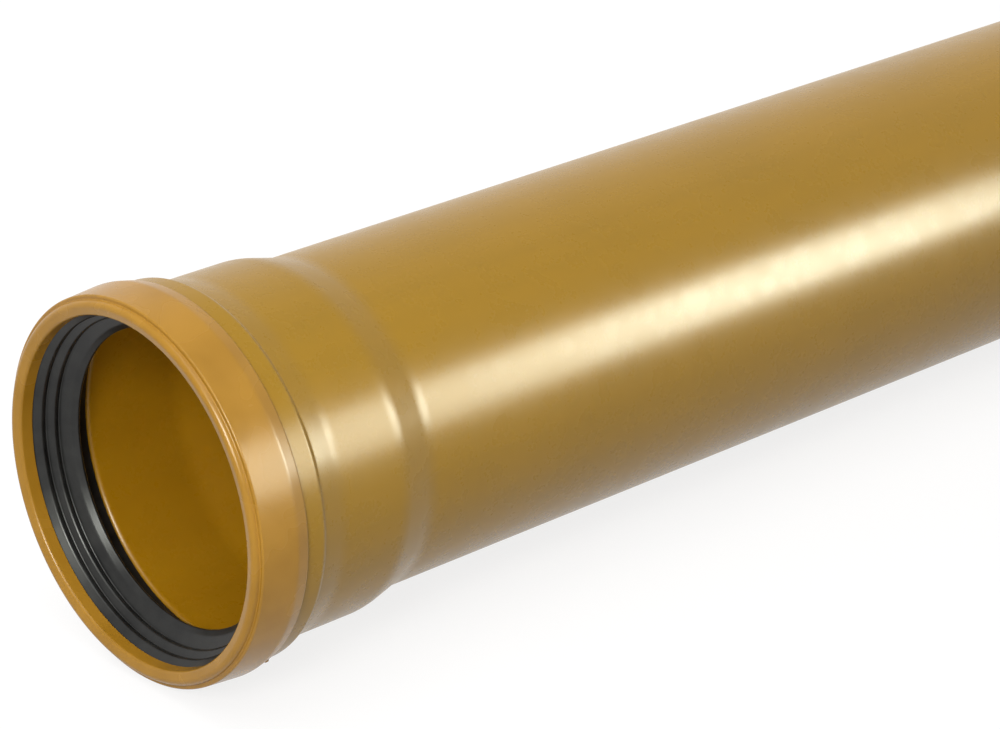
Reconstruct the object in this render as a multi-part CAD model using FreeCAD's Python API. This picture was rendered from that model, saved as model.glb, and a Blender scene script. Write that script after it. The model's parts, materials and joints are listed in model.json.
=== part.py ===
import FreeCAD, Part
import math
import os

# PVC sewer pipe, DN 110, one metre of laying length, with a ring-seal socket. Millimetres.
# The pipe lies along X with its socket mouth at the origin end and its spigot towards +X.
# It rests on the cap's rim and on the spigot's lower edge, so its axis dips very slightly.
# Every piece is a half section turned once about the pipe's axis. A section's corners are
# (distance behind the front of the cap, distance from the axis, rounding radius).

# Driving dimensions: the pipe
OUTER_DIAMETER = 110.0
WALL = 3.2
LAYING_LENGTH = 1000.0
LEAD_IN_LENGTH = 6.0
LEAD_IN_ANGLE = 15.0

# Driving dimensions: the socket
SOCKET_CLEARANCE = 0.25
SOCKET_DEPTH = 61.0
TAPER_LENGTH = 13.6
SHOULDER_ROUNDING = 22.0
TAPER_ROUNDING = 24.0
HOUSING_RADIUS = 58.0
HOUSING_END = 25.3
HOUSING_STEP = 0.9
RIDGE_PLACE = 26.5
RIDGE_RISE = 0.4
LEDGE_PLACE = 27.8
LEDGE_RADIUS = 60.1
FLARE_LENGTH = 9.0
OUTSIDE_SHIFT = 0.4

# Driving dimensions: the clip-on retaining cap
CAP_LENGTH = 19.8
CAP_FLANGE = 5.5
CAP_MOUTH_RADIUS = 56.3
FACE_RADIUS = 60.6
FACE_DISH = 0.9
FACE_CORNER_LEAD = 0.33
FACE_STEP_RISE = 0.5
BAND_SETBACK = 2.2
BAND_FRONT_LEAN = 0.2
BAND_FRONT_RADIUS = 62.5
BAND_CREST_RADIUS = 63.5
BAND_CREST_PLACE = 14.8
SKIRT_EDGE_WALL = 1.3
SKIRT_EDGE_LEAN = 0.4
CLIP_BEAD_HEIGHT = 0.5
CLIP_BEAD_WIDTH = 2.0
CLIP_BEAD_PLACE = 13.0

# Driving dimensions: the sealing ring, its two ribs and its main lip
RING_BODY_RADIUS = 55.6
RING_BACK_LEAN = 0.5
RING_FRONT_CLEARANCE = 0.7
RIB_PLACES = (8.2, 11.8)
RIB_RADII = (54.3, 52.2)
RIB_VALLEY_PLACES = (9.8, 13.4)
RIB_VALLEY_RADII = (55.6, 53.9)
LIP_PLACE = 17.5
LIP_RADIUS = 48.0
LIP_BULGE_PLACE = 15.4
LIP_BULGE_RADIUS = 49.9
LIP_ROOT_RADIUS = 54.8
LIP_ROOT_LEAN = 0.3
LIP_THICKNESS = 0.9

# Worked out from the driving dimensions
PIPE_RADIUS = OUTER_DIAMETER / 2
BORE_RADIUS = PIPE_RADIUS - WALL
SOCKET_RADIUS = PIPE_RADIUS + SOCKET_CLEARANCE
SOCKET_OUTER_RADIUS = SOCKET_RADIUS + WALL
HOUSING_OUTER_RADIUS = HOUSING_RADIUS + WALL
TAPER_END = SOCKET_DEPTH + TAPER_LENGTH
SPIGOT_END = SOCKET_DEPTH + LAYING_LENGTH
LEAD_IN_DEPTH = LEAD_IN_LENGTH * math.tan(math.radians(LEAD_IN_ANGLE))
BEAD_START = CLIP_BEAD_PLACE - CLIP_BEAD_WIDTH / 2
BEAD_END = CLIP_BEAD_PLACE + CLIP_BEAD_WIDTH / 2
BEAD_RADIUS = HOUSING_OUTER_RADIUS - CLIP_BEAD_HEIGHT


def rounded_corner(before, corner, after, rounding):
    """The start, the middle and the end of the tangent arc that rounds a corner."""
    back = (before - corner).normalize()
    ahead = (after - corner).normalize()
    half_angle = back.getAngle(ahead) / 2
    bisector = (back + ahead).normalize()
    cut = rounding / math.tan(half_angle)
    middle = corner + bisector * (rounding / math.sin(half_angle) - rounding)
    return corner + back * cut, middle, corner + ahead * cut


def section_outline(corners):
    """The closed wire of a half section, with a tangent arc at each corner that has a rounding."""
    points = [FreeCAD.Vector(along, 0, radius) for along, radius, rounding in corners]
    edges = []
    spans = []
    for index, corner in enumerate(points):
        rounding = corners[index][2]
        if rounding == 0:
            spans.append((corner, corner))
            continue
        after = points[(index + 1) % len(points)]
        start, middle, end = rounded_corner(points[index - 1], corner, after, rounding)
        edges.append(Part.Arc(start, middle, end).toShape())
        spans.append((start, end))
    for index in range(len(points)):
        edges.append(Part.makeLine(spans[index - 1][1], spans[index][0]))
    return Part.Wire(Part.__sortEdges__(edges))


def turned(corners):
    """The solid that a half section makes when it is turned once about the pipe's axis."""
    face = Part.Face(section_outline(corners))
    return face.revolve(FreeCAD.Vector(0, 0, 0), FreeCAD.Vector(1, 0, 0), 360)


def pipe():
    """Extruded tube whose end is belled out into a socket, with a wider housing for the ring."""
    outside = [
        (CAP_FLANGE, HOUSING_OUTER_RADIUS, 0),
        (BEAD_START, HOUSING_OUTER_RADIUS, 0),
        (BEAD_START, BEAD_RADIUS, 0),
        (BEAD_END, BEAD_RADIUS, 0),
        (BEAD_END, HOUSING_OUTER_RADIUS, 0),
        (CAP_LENGTH, HOUSING_OUTER_RADIUS, 0),
        (RIDGE_PLACE, HOUSING_OUTER_RADIUS + RIDGE_RISE, 1.8),
        (LEDGE_PLACE, LEDGE_RADIUS, 2.0),
        (LEDGE_PLACE + FLARE_LENGTH, SOCKET_OUTER_RADIUS, 25.0),
        (SOCKET_DEPTH + OUTSIDE_SHIFT, SOCKET_OUTER_RADIUS, SHOULDER_ROUNDING),
        (TAPER_END + OUTSIDE_SHIFT, PIPE_RADIUS, TAPER_ROUNDING),
        (SPIGOT_END - LEAD_IN_LENGTH, PIPE_RADIUS, 0),
        (SPIGOT_END, PIPE_RADIUS - LEAD_IN_DEPTH, 0),
    ]
    inside = [
        (SPIGOT_END, BORE_RADIUS, 0),
        (TAPER_END, BORE_RADIUS, TAPER_ROUNDING),
        (SOCKET_DEPTH, SOCKET_RADIUS, SHOULDER_ROUNDING),
        (HOUSING_END + HOUSING_STEP, SOCKET_RADIUS, 2.2),
        (HOUSING_END, HOUSING_RADIUS, 0.4),
        (CAP_FLANGE, HOUSING_RADIUS, 0),
    ]
    return turned(outside + inside)


def retaining_cap():
    """Clip-on cap: a dished front face, a step, and a tapered band whose skirt grips the pipe's mouth."""
    return turned([
        (FACE_DISH, CAP_MOUTH_RADIUS, 1.2),
        (-FACE_CORNER_LEAD, FACE_RADIUS, 1.8),
        (BAND_SETBACK, FACE_RADIUS + FACE_STEP_RISE, 0.4),
        (BAND_SETBACK - BAND_FRONT_LEAN, BAND_FRONT_RADIUS, 0.6),
        (BAND_CREST_PLACE, BAND_CREST_RADIUS, 6.0),
        (CAP_LENGTH - SKIRT_EDGE_LEAN, HOUSING_OUTER_RADIUS + SKIRT_EDGE_WALL, 1.1),
        (CAP_LENGTH, HOUSING_OUTER_RADIUS, 0),
        (BEAD_END, HOUSING_OUTER_RADIUS, 0),
        (BEAD_END, BEAD_RADIUS, 0),
        (BEAD_START, BEAD_RADIUS, 0),
        (BEAD_START, HOUSING_OUTER_RADIUS, 0),
        (CAP_FLANGE, HOUSING_OUTER_RADIUS, 0),
        (CAP_FLANGE, CAP_MOUTH_RADIUS, 0),
    ])


def sealing_ring():
    """Rubber ring that fills the pipe's housing, with two ribs and one long lip that leans inwards."""
    return turned([
        (CAP_FLANGE, HOUSING_RADIUS, 0),
        (HOUSING_END, HOUSING_RADIUS, 0.4),
        (HOUSING_END + RING_BACK_LEAN, RING_BODY_RADIUS, 0.5),
        (LIP_PLACE - LIP_ROOT_LEAN, LIP_ROOT_RADIUS, 1.2),
        (LIP_PLACE + LIP_THICKNESS, LIP_RADIUS + LIP_THICKNESS, 0.5),
        (LIP_PLACE, LIP_RADIUS, 0.7),
        (LIP_BULGE_PLACE, LIP_BULGE_RADIUS, 3.0),
        (RIB_VALLEY_PLACES[1], RIB_VALLEY_RADII[1], 0.5),
        (RIB_PLACES[1], RIB_RADII[1], 1.1),
        (RIB_VALLEY_PLACES[0], RIB_VALLEY_RADII[0], 0.5),
        (RIB_PLACES[0], RIB_RADII[0], 1.1),
        (CAP_FLANGE, CAP_MOUTH_RADIUS + RING_FRONT_CLEARANCE, 0.3),
    ])


def resting_dip():
    """The small angle in degrees at which the pipe lies on its cap's rim and its spigot's edge."""
    reach = SPIGOT_END - LEAD_IN_LENGTH - BAND_CREST_PLACE
    return math.degrees(math.atan2(BAND_CREST_RADIUS - PIPE_RADIUS, reach))


os.makedirs("parts", exist_ok=True)
for name, solid in (("pipe", pipe()), ("retaining_cap", retaining_cap()), ("sealing_ring", sealing_ring())):
    solid.rotate(FreeCAD.Vector(0, 0, 0), FreeCAD.Vector(0, 1, 0), resting_dip())
    solid.exportStep("parts/" + name + ".step")
    print(name, solid.isValid(), solid.ShapeType, round(solid.Volume / 1000, 2), "cm3")
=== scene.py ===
"""Looks of a DN 110 drain pipe: extruded PVC tube, clip-on mouth cap and lipped rubber ring."""

import json
import math

import bpy
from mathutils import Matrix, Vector


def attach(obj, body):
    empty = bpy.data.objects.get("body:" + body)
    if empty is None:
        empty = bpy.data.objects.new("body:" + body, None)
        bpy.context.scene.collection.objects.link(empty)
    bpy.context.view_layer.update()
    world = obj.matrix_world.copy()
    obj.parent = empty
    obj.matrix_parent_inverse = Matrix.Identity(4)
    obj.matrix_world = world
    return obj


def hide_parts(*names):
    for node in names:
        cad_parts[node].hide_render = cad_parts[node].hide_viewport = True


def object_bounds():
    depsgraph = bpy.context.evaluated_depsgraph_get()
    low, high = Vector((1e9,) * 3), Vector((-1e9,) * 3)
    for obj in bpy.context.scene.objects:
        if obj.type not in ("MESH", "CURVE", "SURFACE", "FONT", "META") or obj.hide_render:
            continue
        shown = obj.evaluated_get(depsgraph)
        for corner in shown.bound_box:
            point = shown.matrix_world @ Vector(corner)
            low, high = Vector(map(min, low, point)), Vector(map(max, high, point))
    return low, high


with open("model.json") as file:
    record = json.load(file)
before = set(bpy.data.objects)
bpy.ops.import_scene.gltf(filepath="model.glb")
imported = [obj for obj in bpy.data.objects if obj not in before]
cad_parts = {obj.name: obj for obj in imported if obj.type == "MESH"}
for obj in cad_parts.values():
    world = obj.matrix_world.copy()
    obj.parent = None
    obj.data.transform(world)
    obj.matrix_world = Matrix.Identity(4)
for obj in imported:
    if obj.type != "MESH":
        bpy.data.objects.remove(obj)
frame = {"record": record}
cad_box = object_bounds()

# ---- The pipe's line and sizes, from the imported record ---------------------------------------

MM = 0.001
mounts = {mount["name"]: mount for mount in frame["record"]["mounts"]}
ALONG = Vector(mounts["spigot"]["axis"]).normalized()
ACROSS = Vector((0, 1, 0))
UPWARD = ALONG.cross(ACROSS)
PIPE_RADIUS = mounts["spigot"]["dims"]["r_mm"]
BORE_RADIUS = mounts["flow_bore"]["dims"]["r_mm"]
CAP_MOUTH_RADIUS = mounts["socket_mouth"]["dims"]["r_mm"]
WALL = PIPE_RADIUS - BORE_RADIUS

# ---- Half sections in millimetres -------------------------------------------------------------
# A corner is (distance behind the front of the cap, distance from the axis, rounding radius).
# Each section runs backwards along its outside and forwards along its inside.

LEAD_IN = 6.0
LEAD_IN_DEPTH = 1.6
SPIGOT_END = Vector(mounts["spigot"]["pos_m"]).length / MM + LEAD_IN
SOCKET_DEPTH = 61.0
TAPER_END = 74.6
OUTSIDE_SHIFT = 0.4
SHOULDER_ROUNDING = 22.0
TAPER_ROUNDING = 24.0
SOCKET_CLEARANCE = 0.25
SOCKET_RADIUS = PIPE_RADIUS + SOCKET_CLEARANCE
SOCKET_OUTER = SOCKET_RADIUS + WALL
HOUSING_RADIUS = 58.0
HOUSING_OUTER = HOUSING_RADIUS + WALL
HOUSING_END = 25.3
HOUSING_STEP = 0.9
RIDGE = 26.5
RIDGE_RISE = 0.4
LEDGE = 27.8
LEDGE_RADIUS = 60.1
FLARE_LENGTH = 9.0
CAP_LENGTH = 19.8
CAP_FLANGE = 5.5
FACE_DISH = 0.9
FACE_CORNER_LEAD = 0.33
FACE_RADIUS = 60.6
BAND_FRONT_RADIUS = 62.5
BAND_CREST_PLACE = 14.8
BAND_CREST_RADIUS = 63.5
SKIRT_EDGE_WALL = 1.3
LIP_PLACE = 17.5
LIP_RADIUS = 48.0
LIP_THICKNESS = 0.9

PIPE_SECTION = [
    (CAP_FLANGE, HOUSING_OUTER, 0.2),
    (CAP_LENGTH, HOUSING_OUTER, 0.2),
    (RIDGE, HOUSING_OUTER + RIDGE_RISE, 1.8),
    (LEDGE, LEDGE_RADIUS, 2.0),
    (LEDGE + FLARE_LENGTH, SOCKET_OUTER, 25.0),
    (SOCKET_DEPTH + OUTSIDE_SHIFT, SOCKET_OUTER, SHOULDER_ROUNDING),
    (TAPER_END + OUTSIDE_SHIFT, PIPE_RADIUS, TAPER_ROUNDING),
    (SPIGOT_END - LEAD_IN, PIPE_RADIUS, 0.4),
    (SPIGOT_END, PIPE_RADIUS - LEAD_IN_DEPTH, 0.2),
    (SPIGOT_END, BORE_RADIUS, 0.2),
    (TAPER_END, BORE_RADIUS, TAPER_ROUNDING),
    (SOCKET_DEPTH, SOCKET_RADIUS, SHOULDER_ROUNDING),
    (HOUSING_END + HOUSING_STEP, SOCKET_RADIUS, 2.2),
    (HOUSING_END, HOUSING_RADIUS, 0.4),
    (CAP_FLANGE, HOUSING_RADIUS, 0.2),
]
# First and last corners of the turned and sawn end, and of the inside.
CUT_END = (7, 9)
INSIDE = (9, 14)

CAP_SECTION = [
    (FACE_DISH, CAP_MOUTH_RADIUS, 1.2),
    (-FACE_CORNER_LEAD, FACE_RADIUS, 1.8),
    (2.2, FACE_RADIUS + 0.5, 0.4),
    (2.0, BAND_FRONT_RADIUS, 0.6),
    (BAND_CREST_PLACE, BAND_CREST_RADIUS, 6.0),
    (CAP_LENGTH - 0.4, HOUSING_OUTER + SKIRT_EDGE_WALL, 1.1),
    (CAP_LENGTH, HOUSING_OUTER + 0.02, 0.1),
    (CAP_FLANGE, HOUSING_OUTER, 0.1),
    (CAP_FLANGE, CAP_MOUTH_RADIUS, 0.15),
]

RING_SECTION = [
    (CAP_FLANGE, HOUSING_RADIUS, 0.1),
    (HOUSING_END, HOUSING_RADIUS, 0.3),
    (HOUSING_END + 0.5, 55.6, 0.5),
    (17.2, 54.8, 1.2),
    (LIP_PLACE + LIP_THICKNESS, LIP_RADIUS + LIP_THICKNESS, 0.5),
    (LIP_PLACE, LIP_RADIUS, 0.7),
    (15.4, 49.9, 3.0),
    (13.4, 53.9, 0.5),
    (11.8, 52.2, 1.1),
    (9.8, 55.6, 0.5),
    (8.2, 54.3, 1.1),
    (CAP_FLANGE, CAP_MOUTH_RADIUS + 0.7, 0.3),
]

# ---- Turned meshes -----------------------------------------------------------------------------

ARC_STEPS = 8
SECTIONS = 320


def turned_left(direction):
    """A section direction turned a quarter turn to its left, which is the outer side."""
    return Vector((-direction.y, direction.x))


def rounded_corner(before, corner, after, rounding):
    """(point, outward normal) pairs along the tangent arc that rounds one corner of a section."""
    arriving = (corner - before).normalized()
    leaving = (after - corner).normalized()
    bend = math.atan2(arriving.x * leaving.y - arriving.y * leaving.x, arriving.dot(leaving))
    cut = rounding * math.tan(abs(bend) / 2)
    start = corner - arriving * cut
    centre = start + turned_left(arriving) * math.copysign(rounding, bend)
    pairs = []
    for step in range(ARC_STEPS + 1):
        turn = bend * step / ARC_STEPS
        heading = Vector((
            arriving.x * math.cos(turn) - arriving.y * math.sin(turn),
            arriving.x * math.sin(turn) + arriving.y * math.cos(turn),
        ))
        outward = turned_left(heading)
        pairs.append((centre - outward * math.copysign(rounding, bend), outward))
    return pairs


def rounded_section(corners):
    """The whole section as (point, outward normal) pairs, in millimetres."""
    flat = [Vector(corner[:2]) for corner in corners]
    pairs = []
    for index, corner in enumerate(flat):
        following = flat[(index + 1) % len(flat)]
        pairs += rounded_corner(flat[index - 1], corner, following, corners[index][2])
    return pairs


def turned_piece(name, corners):
    """One closed mesh: a section turned once about the pipe's line, shaded by its true normals."""
    section = rounded_section(corners)
    rows = len(section)
    vertices, normals, faces = [], [], []
    for index in range(SECTIONS):
        angle = 2 * math.pi * index / SECTIONS
        spoke = ACROSS * math.sin(angle) - UPWARD * math.cos(angle)
        vertices += [(ALONG * point.x + spoke * point.y) * MM for point, outward in section]
        normals += [ALONG * outward.x + spoke * outward.y for point, outward in section]
        this, following = index * rows, (index + 1) % SECTIONS * rows
        for row in range(rows):
            after = (row + 1) % rows
            faces.append((this + row, following + row, following + after, this + after))
    mesh = bpy.data.meshes.new(name)
    mesh.from_pydata(vertices, [], faces)
    mesh.shade_smooth()
    mesh.normals_split_custom_set_from_vertices(normals)
    piece = bpy.data.objects.new(name, mesh)
    bpy.context.scene.collection.objects.link(piece)
    return piece


def finish_corners(piece, first_corner, last_corner, material):
    """Gives another material to the faces from one corner of the section to a later one."""
    rows = len(piece.data.polygons) // SECTIONS
    first = first_corner * (ARC_STEPS + 1)
    last = last_corner * (ARC_STEPS + 1) + ARC_STEPS // 2
    piece.data.materials.append(material)
    for face in piece.data.polygons:
        if first <= face.index % rows < last:
            face.material_index = len(piece.data.materials) - 1


def moulding_mark(name, along, radius, angle, width, height):
    """A small round pip on the cap, with its lower half sunk in the wall."""
    spoke = UPWARD * math.cos(math.radians(angle)) - ACROSS * math.sin(math.radians(angle))
    side = ALONG.cross(spoke)
    centre = (ALONG * along + spoke * radius) * MM
    rings, around = 6, 20
    vertices = []
    for ring in range(1, rings):
        tilt = math.pi * ring / rings
        for step in range(around):
            turn = 2 * math.pi * step / around
            flat = (ALONG * math.cos(turn) + side * math.sin(turn)) * (width / 2 * math.sin(tilt))
            vertices.append(centre + (flat + spoke * (height * math.cos(tilt))) * MM)
    faces = []
    for ring in range(rings - 2):
        for step in range(around):
            this, beside = ring * around + step, ring * around + (step + 1) % around
            faces.append((this, this + around, beside + around, beside))
    faces.append(tuple(range(around)))
    faces.append(tuple(reversed(range((rings - 2) * around, (rings - 1) * around))))
    mesh = bpy.data.meshes.new(name)
    mesh.from_pydata(vertices, [], faces)
    mesh.shade_smooth()
    piece = bpy.data.objects.new(name, mesh)
    bpy.context.scene.collection.objects.link(piece)
    return piece


# ---- Materials ---------------------------------------------------------------------------------

def linear(code):
    """A linear colour from an sRGB hex code."""
    channels = [int(code[start:start + 2], 16) / 255 for start in (0, 2, 4)]
    return tuple(c / 12.92 if c <= 0.04045 else ((c + 0.055) / 1.055) ** 2.4 for c in channels) + (1,)


def per_metre(size_mm):
    """The pattern scale that gives features of one size in millimetres."""
    return 1 / (size_mm * MM)


def node(tree, kind, links=None, **settings):
    """Adds a shader node. links gives its inputs other nodes' outputs or constant values."""
    added = tree.nodes.new(kind)
    for key, value in settings.items():
        setattr(added, key, value)
    for key, value in (links or {}).items():
        if isinstance(value, bpy.types.NodeSocket):
            tree.links.new(value, added.inputs[key])
        else:
            added.inputs[key].default_value = value
    return added


def new_material(name):
    """An empty node material and its tree."""
    material = bpy.data.materials.new(name)
    material.use_nodes = True
    material.node_tree.nodes.clear()
    return material, material.node_tree


def extruded_pvc(name, dull_tone, bright_tone):
    """Unplasticised PVC drawn through a die: golden brown all through, a soft even gloss,
    faint lines along the pipe and the slow waves of a wall that was sized while soft.
    The lines are drawn coarser than a real die leaves them, so that they show."""
    material, tree = new_material(name)
    place = node(tree, "ShaderNodeTexCoord").outputs["Object"]
    drawn = node(tree, "ShaderNodeMapping", {"Vector": place, "Scale": (0.006, 1, 1)}).outputs["Vector"]
    die_lines = node(tree, "ShaderNodeTexNoise", {
        "Vector": drawn, "Scale": per_metre(1.6), "Detail": 3.0, "Roughness": 0.6,
    })
    melt_streaks = node(tree, "ShaderNodeTexNoise", {
        "Vector": drawn, "Scale": per_metre(14), "Detail": 2.0,
    })
    pigment = node(tree, "ShaderNodeTexNoise", {
        "Vector": place, "Scale": per_metre(45), "Detail": 4.0, "Roughness": 0.55,
    })
    orange_peel = node(tree, "ShaderNodeTexNoise", {
        "Vector": place, "Scale": per_metre(2.2), "Detail": 2.0,
    })
    handling = node(tree, "ShaderNodeTexNoise", {
        "Vector": place, "Scale": per_metre(9), "Detail": 5.0, "Roughness": 0.65,
    })
    clouds = node(tree, "ShaderNodeMath", {
        0: melt_streaks.outputs["Fac"], 1: pigment.outputs["Fac"],
    }, operation="ADD")
    tone = node(tree, "ShaderNodeMapRange", {
        "Value": clouds.outputs["Value"], "From Min": 0.7, "From Max": 1.3,
    }).outputs["Result"]
    colour = node(tree, "ShaderNodeMix", {
        "Factor": tone, "A": linear(dull_tone), "B": linear(bright_tone),
    }, data_type="RGBA").outputs["Result"]
    gloss = node(tree, "ShaderNodeMapRange", {
        "Value": handling.outputs["Fac"], "From Min": 0.3, "From Max": 0.7,
        "To Min": 0.25, "To Max": 0.31,
    }).outputs["Result"]
    peel = node(tree, "ShaderNodeBump", {
        "Height": orange_peel.outputs["Fac"], "Strength": 0.1, "Distance": 0.003 * MM,
    })
    lines = node(tree, "ShaderNodeBump", {
        "Height": die_lines.outputs["Fac"], "Strength": 0.15, "Distance": 0.003 * MM,
        "Normal": peel.outputs["Normal"],
    })
    shader = node(tree, "ShaderNodeBsdfPrincipled", {
        "Base Color": colour, "Roughness": gloss, "IOR": 1.53, "Specular IOR Level": 0.3,
        "Normal": lines.outputs["Normal"],
    })
    node(tree, "ShaderNodeOutputMaterial", {"Surface": shader.outputs["BSDF"]})
    return material


def cut_pvc():
    """The same PVC where a cutter turned the lead-in and sawed the end: paler, dull, finely ringed."""
    material, tree = new_material("cut_unplasticised_pvc")
    place = node(tree, "ShaderNodeTexCoord").outputs["Object"]
    turned = node(tree, "ShaderNodeMapping", {
        "Vector": place, "Scale": (1, 0.02, 0.02),
    }).outputs["Vector"]
    cutter_rings = node(tree, "ShaderNodeTexNoise", {
        "Vector": turned, "Scale": per_metre(0.35), "Detail": 2.0,
    })
    torn_grain = node(tree, "ShaderNodeTexNoise", {
        "Vector": place, "Scale": per_metre(0.8), "Detail": 4.0,
    })
    colour = node(tree, "ShaderNodeMix", {
        "Factor": torn_grain.outputs["Fac"], "A": linear("a68432"), "B": linear("bd9c4a"),
    }, data_type="RGBA").outputs["Result"]
    rings = node(tree, "ShaderNodeBump", {
        "Height": cutter_rings.outputs["Fac"], "Strength": 0.6, "Distance": 0.03 * MM,
    })
    shader = node(tree, "ShaderNodeBsdfPrincipled", {
        "Base Color": colour, "Roughness": 0.55, "IOR": 1.53, "Normal": rings.outputs["Normal"],
    })
    node(tree, "ShaderNodeOutputMaterial", {"Surface": shader.outputs["BSDF"]})
    return material


def moulded_polypropylene():
    """Injection-moulded polypropylene: a touch more orange than the pipe, waxy gloss,
    soft flow marks round the ring and the fine sandy grain of an eroded mould."""
    material, tree = new_material("moulded_polypropylene")
    place = node(tree, "ShaderNodeTexCoord").outputs["Object"]
    flow = node(tree, "ShaderNodeTexNoise", {
        "Vector": place, "Scale": per_metre(18), "Detail": 2.0, "Distortion": 0.3,
    })
    mould_grain = node(tree, "ShaderNodeTexNoise", {
        "Vector": place, "Scale": per_metre(0.7), "Detail": 3.0, "Roughness": 0.7,
    })
    tone = node(tree, "ShaderNodeMapRange", {
        "Value": flow.outputs["Fac"], "From Min": 0.3, "From Max": 0.7,
    }).outputs["Result"]
    colour = node(tree, "ShaderNodeMix", {
        "Factor": tone, "A": linear("9c701c"), "B": linear("a97b26"),
    }, data_type="RGBA").outputs["Result"]
    gloss = node(tree, "ShaderNodeMapRange", {
        "Value": flow.outputs["Fac"], "From Min": 0.3, "From Max": 0.7,
        "To Min": 0.23, "To Max": 0.29,
    }).outputs["Result"]
    grain = node(tree, "ShaderNodeBump", {
        "Height": mould_grain.outputs["Fac"], "Strength": 0.3, "Distance": 0.01 * MM,
    })
    shader = node(tree, "ShaderNodeBsdfPrincipled", {
        "Base Color": colour, "Roughness": gloss, "IOR": 1.49, "Specular IOR Level": 0.3,
        "Normal": grain.outputs["Normal"],
    })
    node(tree, "ShaderNodeOutputMaterial", {"Surface": shader.outputs["BSDF"]})
    return material


def moulded_epdm():
    """Moulded EPDM rubber: near black, with a greasy sheen along the lips, dull grey bloom
    from the mould release and a fine grain."""
    material, tree = new_material("moulded_epdm_rubber")
    place = node(tree, "ShaderNodeTexCoord").outputs["Object"]
    bloom = node(tree, "ShaderNodeTexNoise", {
        "Vector": place, "Scale": per_metre(11), "Detail": 5.0, "Roughness": 0.6,
    })
    rubber_grain = node(tree, "ShaderNodeTexNoise", {
        "Vector": place, "Scale": per_metre(0.5), "Detail": 2.0,
    })
    spread = node(tree, "ShaderNodeMapRange", {
        "Value": bloom.outputs["Fac"], "From Min": 0.35, "From Max": 0.75,
    }).outputs["Result"]
    colour = node(tree, "ShaderNodeMix", {
        "Factor": spread, "A": linear("161615"), "B": linear("2c2c2a"),
    }, data_type="RGBA").outputs["Result"]
    gloss = node(tree, "ShaderNodeMapRange", {
        "Value": bloom.outputs["Fac"], "From Min": 0.35, "From Max": 0.75,
        "To Min": 0.28, "To Max": 0.38,
    }).outputs["Result"]
    grain = node(tree, "ShaderNodeBump", {
        "Height": rubber_grain.outputs["Fac"], "Strength": 0.4, "Distance": 0.01 * MM,
    })
    shader = node(tree, "ShaderNodeBsdfPrincipled", {
        "Base Color": colour, "Roughness": gloss, "IOR": 1.52, "Specular IOR Level": 0.3,
        "Normal": grain.outputs["Normal"],
    })
    node(tree, "ShaderNodeOutputMaterial", {"Surface": shader.outputs["BSDF"]})
    return material


# ---- Pieces ------------------------------------------------------------------------------------

pipe_piece = turned_piece("drain_pipe", PIPE_SECTION)
pipe_piece.data.materials.append(extruded_pvc("extruded_unplasticised_pvc", "936e0a", "9a730c"))
finish_corners(pipe_piece, *CUT_END, cut_pvc())
# Inside the bore the same PVC is painted a little brighter and more orange: painted light that stands
# in for the light bounced round inside the pipe.
finish_corners(pipe_piece, *INSIDE, extruded_pvc("extruded_pvc_inside_painted_bounce_light", "a4740c", "ab7b10"))
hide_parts("pipe")

polypropylene = moulded_polypropylene()
cap_piece = turned_piece("mouth_cap", CAP_SECTION)
cap_piece.data.materials.append(polypropylene)
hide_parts("retaining_cap")

ring_piece = turned_piece("lip_ring", RING_SECTION)
ring_piece.data.materials.append(moulded_epdm())
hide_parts("sealing_ring")

# The stub of the moulding gate on the cap's rear edge.
gate_stub = moulding_mark("cap_gate_stub", along=18.9, radius=62.3, angle=138, width=1.9, height=0.8)
gate_stub.data.materials.append(polypropylene)

for piece in (pipe_piece, cap_piece, ring_piece, gate_stub):
    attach(piece, "root")

# ---- Floor -------------------------------------------------------------------------------------

FLOOR_REACH = 40.0
TABLE_LIFT = 0.82
TABLE_BOUNCE = 0.45
floor_height = cad_box[0][2]
floor_mesh = bpy.data.meshes.new("floor")
floor_mesh.from_pydata([
    (-FLOOR_REACH, -FLOOR_REACH, floor_height), (FLOOR_REACH, -FLOOR_REACH, floor_height),
    (FLOOR_REACH, FLOOR_REACH, floor_height), (-FLOOR_REACH, FLOOR_REACH, floor_height),
], [], [(0, 1, 2, 3)])
floor = bpy.data.objects.new("floor", floor_mesh)
bpy.context.scene.collection.objects.link(floor)


def seen_rays(tree):
    """One for the rays that show the backdrop: to the camera, in gloss and through glass."""
    rays = node(tree, "ShaderNodeLightPath").outputs
    shown = node(tree, "ShaderNodeMath", {
        0: rays["Is Camera Ray"], 1: rays["Is Glossy Ray"],
    }, operation="MAXIMUM").outputs["Value"]
    return node(tree, "ShaderNodeMath", {
        0: shown, 1: rays["Is Transmission Ray"],
    }, operation="MAXIMUM").outputs["Value"]


def white_table():
    """Matt white table top. It is seen lifted to white, so it keeps only a pale shadow,
    and it throws back half of the light, so the pipe's underside stays dark."""
    material, tree = new_material("white_table")
    seen = seen_rays(tree)
    paint = node(tree, "ShaderNodeMix", {
        "Factor": seen, "A": (TABLE_BOUNCE,) * 3 + (1,), "B": (1, 1, 1, 1),
    }, data_type="RGBA")
    matt = node(tree, "ShaderNodeBsdfDiffuse", {"Color": paint.outputs["Result"]})
    lifted = node(tree, "ShaderNodeEmission", {"Color": (1, 1, 1, 1), "Strength": 1.0})
    lift = node(tree, "ShaderNodeMath", {0: seen, 1: TABLE_LIFT}, operation="MULTIPLY")
    mixed = node(tree, "ShaderNodeMixShader", {
        "Fac": lift.outputs["Value"], 1: matt.outputs["BSDF"], 2: lifted.outputs["Emission"],
    })
    node(tree, "ShaderNodeOutputMaterial", {"Surface": mixed.outputs["Shader"]})
    return material


floor.data.materials.append(white_table())

# ---- Light -------------------------------------------------------------------------------------

WHITE_BACKGROUND = 1.0
ROOM_LIGHT = 0.45

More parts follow.
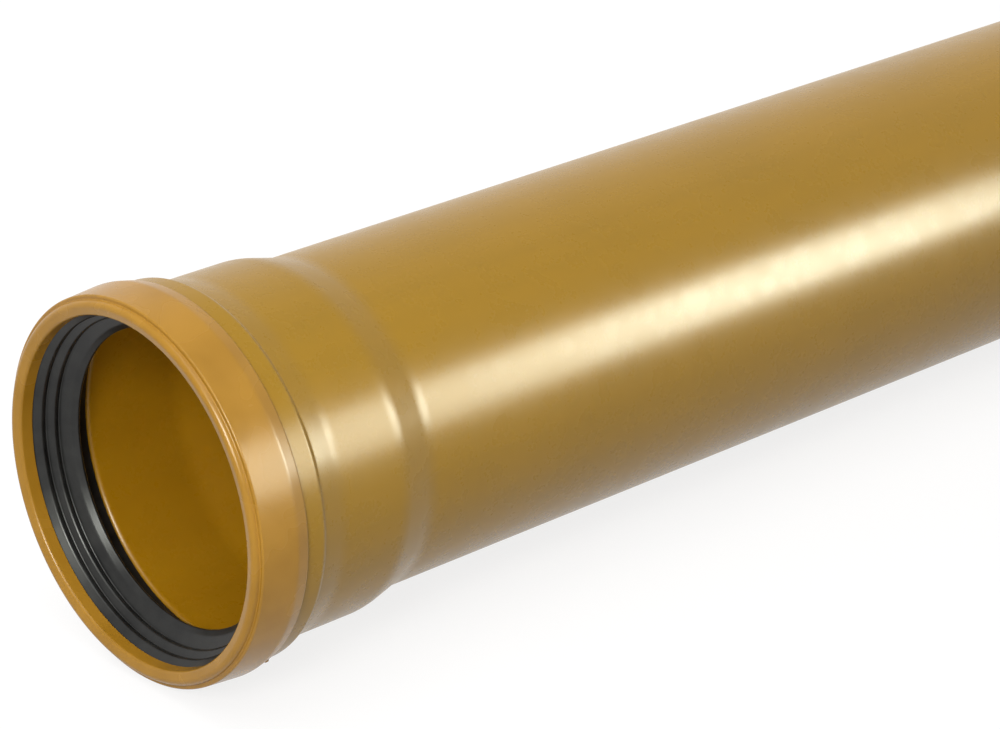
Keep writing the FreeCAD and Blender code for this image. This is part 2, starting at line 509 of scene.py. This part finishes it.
world = bpy.data.worlds.new("studio")
bpy.context.scene.world = world
world.use_nodes = True
world.node_tree.nodes.clear()
backdrop = node(world.node_tree, "ShaderNodeMix", {
    "Factor": seen_rays(world.node_tree), "A": ROOM_LIGHT, "B": WHITE_BACKGROUND,
}, data_type="FLOAT")
sky = node(world.node_tree, "ShaderNodeBackground", {
    "Color": (1, 1, 1, 1), "Strength": backdrop.outputs["Result"],
})
node(world.node_tree, "ShaderNodeOutputWorld", {"Surface": sky.outputs["Background"]})


def softbox(name, place, target, width, height, power):
    """A rectangular lamp at place, facing target, in metres and watts."""
    lamp = bpy.data.lights.new(name, "AREA")
    lamp.shape = "RECTANGLE"
    lamp.size = width
    lamp.size_y = height
    lamp.energy = power
    holder = bpy.data.objects.new(name, lamp)
    bpy.context.scene.collection.objects.link(holder)
    holder.location = place
    holder.rotation_euler = (Vector(target) - Vector(place)).to_track_quat("-Z", "Y").to_euler()
    holder.visible_camera = False
    return holder


softbox("overhead_softbox", (-0.3, -0.5, 2.0), (0.4, 0, 0), 1.8, 1.8, 22)
softbox("front_softbox", (-0.95, -0.75, 0.8), (0, 0, 0), 0.45, 0.45, 13)
# The lamp behind is kept out of the gloss, so it leaves no bright rim on the cap.
back_softbox = softbox("back_softbox", (0.5, 1.7, 1.0), (0.5, 0, 0), 1.4, 0.9, 16)
back_softbox.visible_glossy = False

# A faintly warm white, so that the gloss on the golden PVC stays cream.
CARD_TINT = (0.97, 1.0, 0.84)

# These cards show only in the gloss. The two on the right make the long highlight down the pipe,
# brightest a quarter of a metre behind the mouth. The front one puts the sheen on the rubber's
# lips and on the rounded edges of the mouth.
for name, place, target, width, height, power in (
    ("wide_card", (0.69, -0.74, 0.29), (0.69, 0, 0.29), 0.98, 0.42, 16),
    ("bright_card", (0.92, -0.73, 0.29), (0.92, 0, 0.29), 0.34, 0.38, 9.5),
    ("front_card", (-1.2, -1.0, 1.0), (0, 0, 0), 1.0, 0.8, 28),
):
    card = softbox(name, place, target, width, height, power)
    card.visible_diffuse = False
    card.data.color = CARD_TINT

# ---- Camera ------------------------------------------------------------------------------------

CAMERA_AZIMUTH = -42.35
CAMERA_ELEVATION = 24.33
CAMERA_PLACE = (-0.59946, -0.82506, 0.50197)
lens = bpy.data.cameras.new("camera")
lens.sensor_width = 36
lens.lens = 134.4
camera = bpy.data.objects.new("camera", lens)
bpy.context.scene.collection.objects.link(camera)
camera.location = CAMERA_PLACE
camera.rotation_euler = (math.radians(90 - CAMERA_ELEVATION), 0, math.radians(CAMERA_AZIMUTH))
bpy.context.scene.camera = camera
bpy.context.scene.view_settings.view_transform = "Standard"
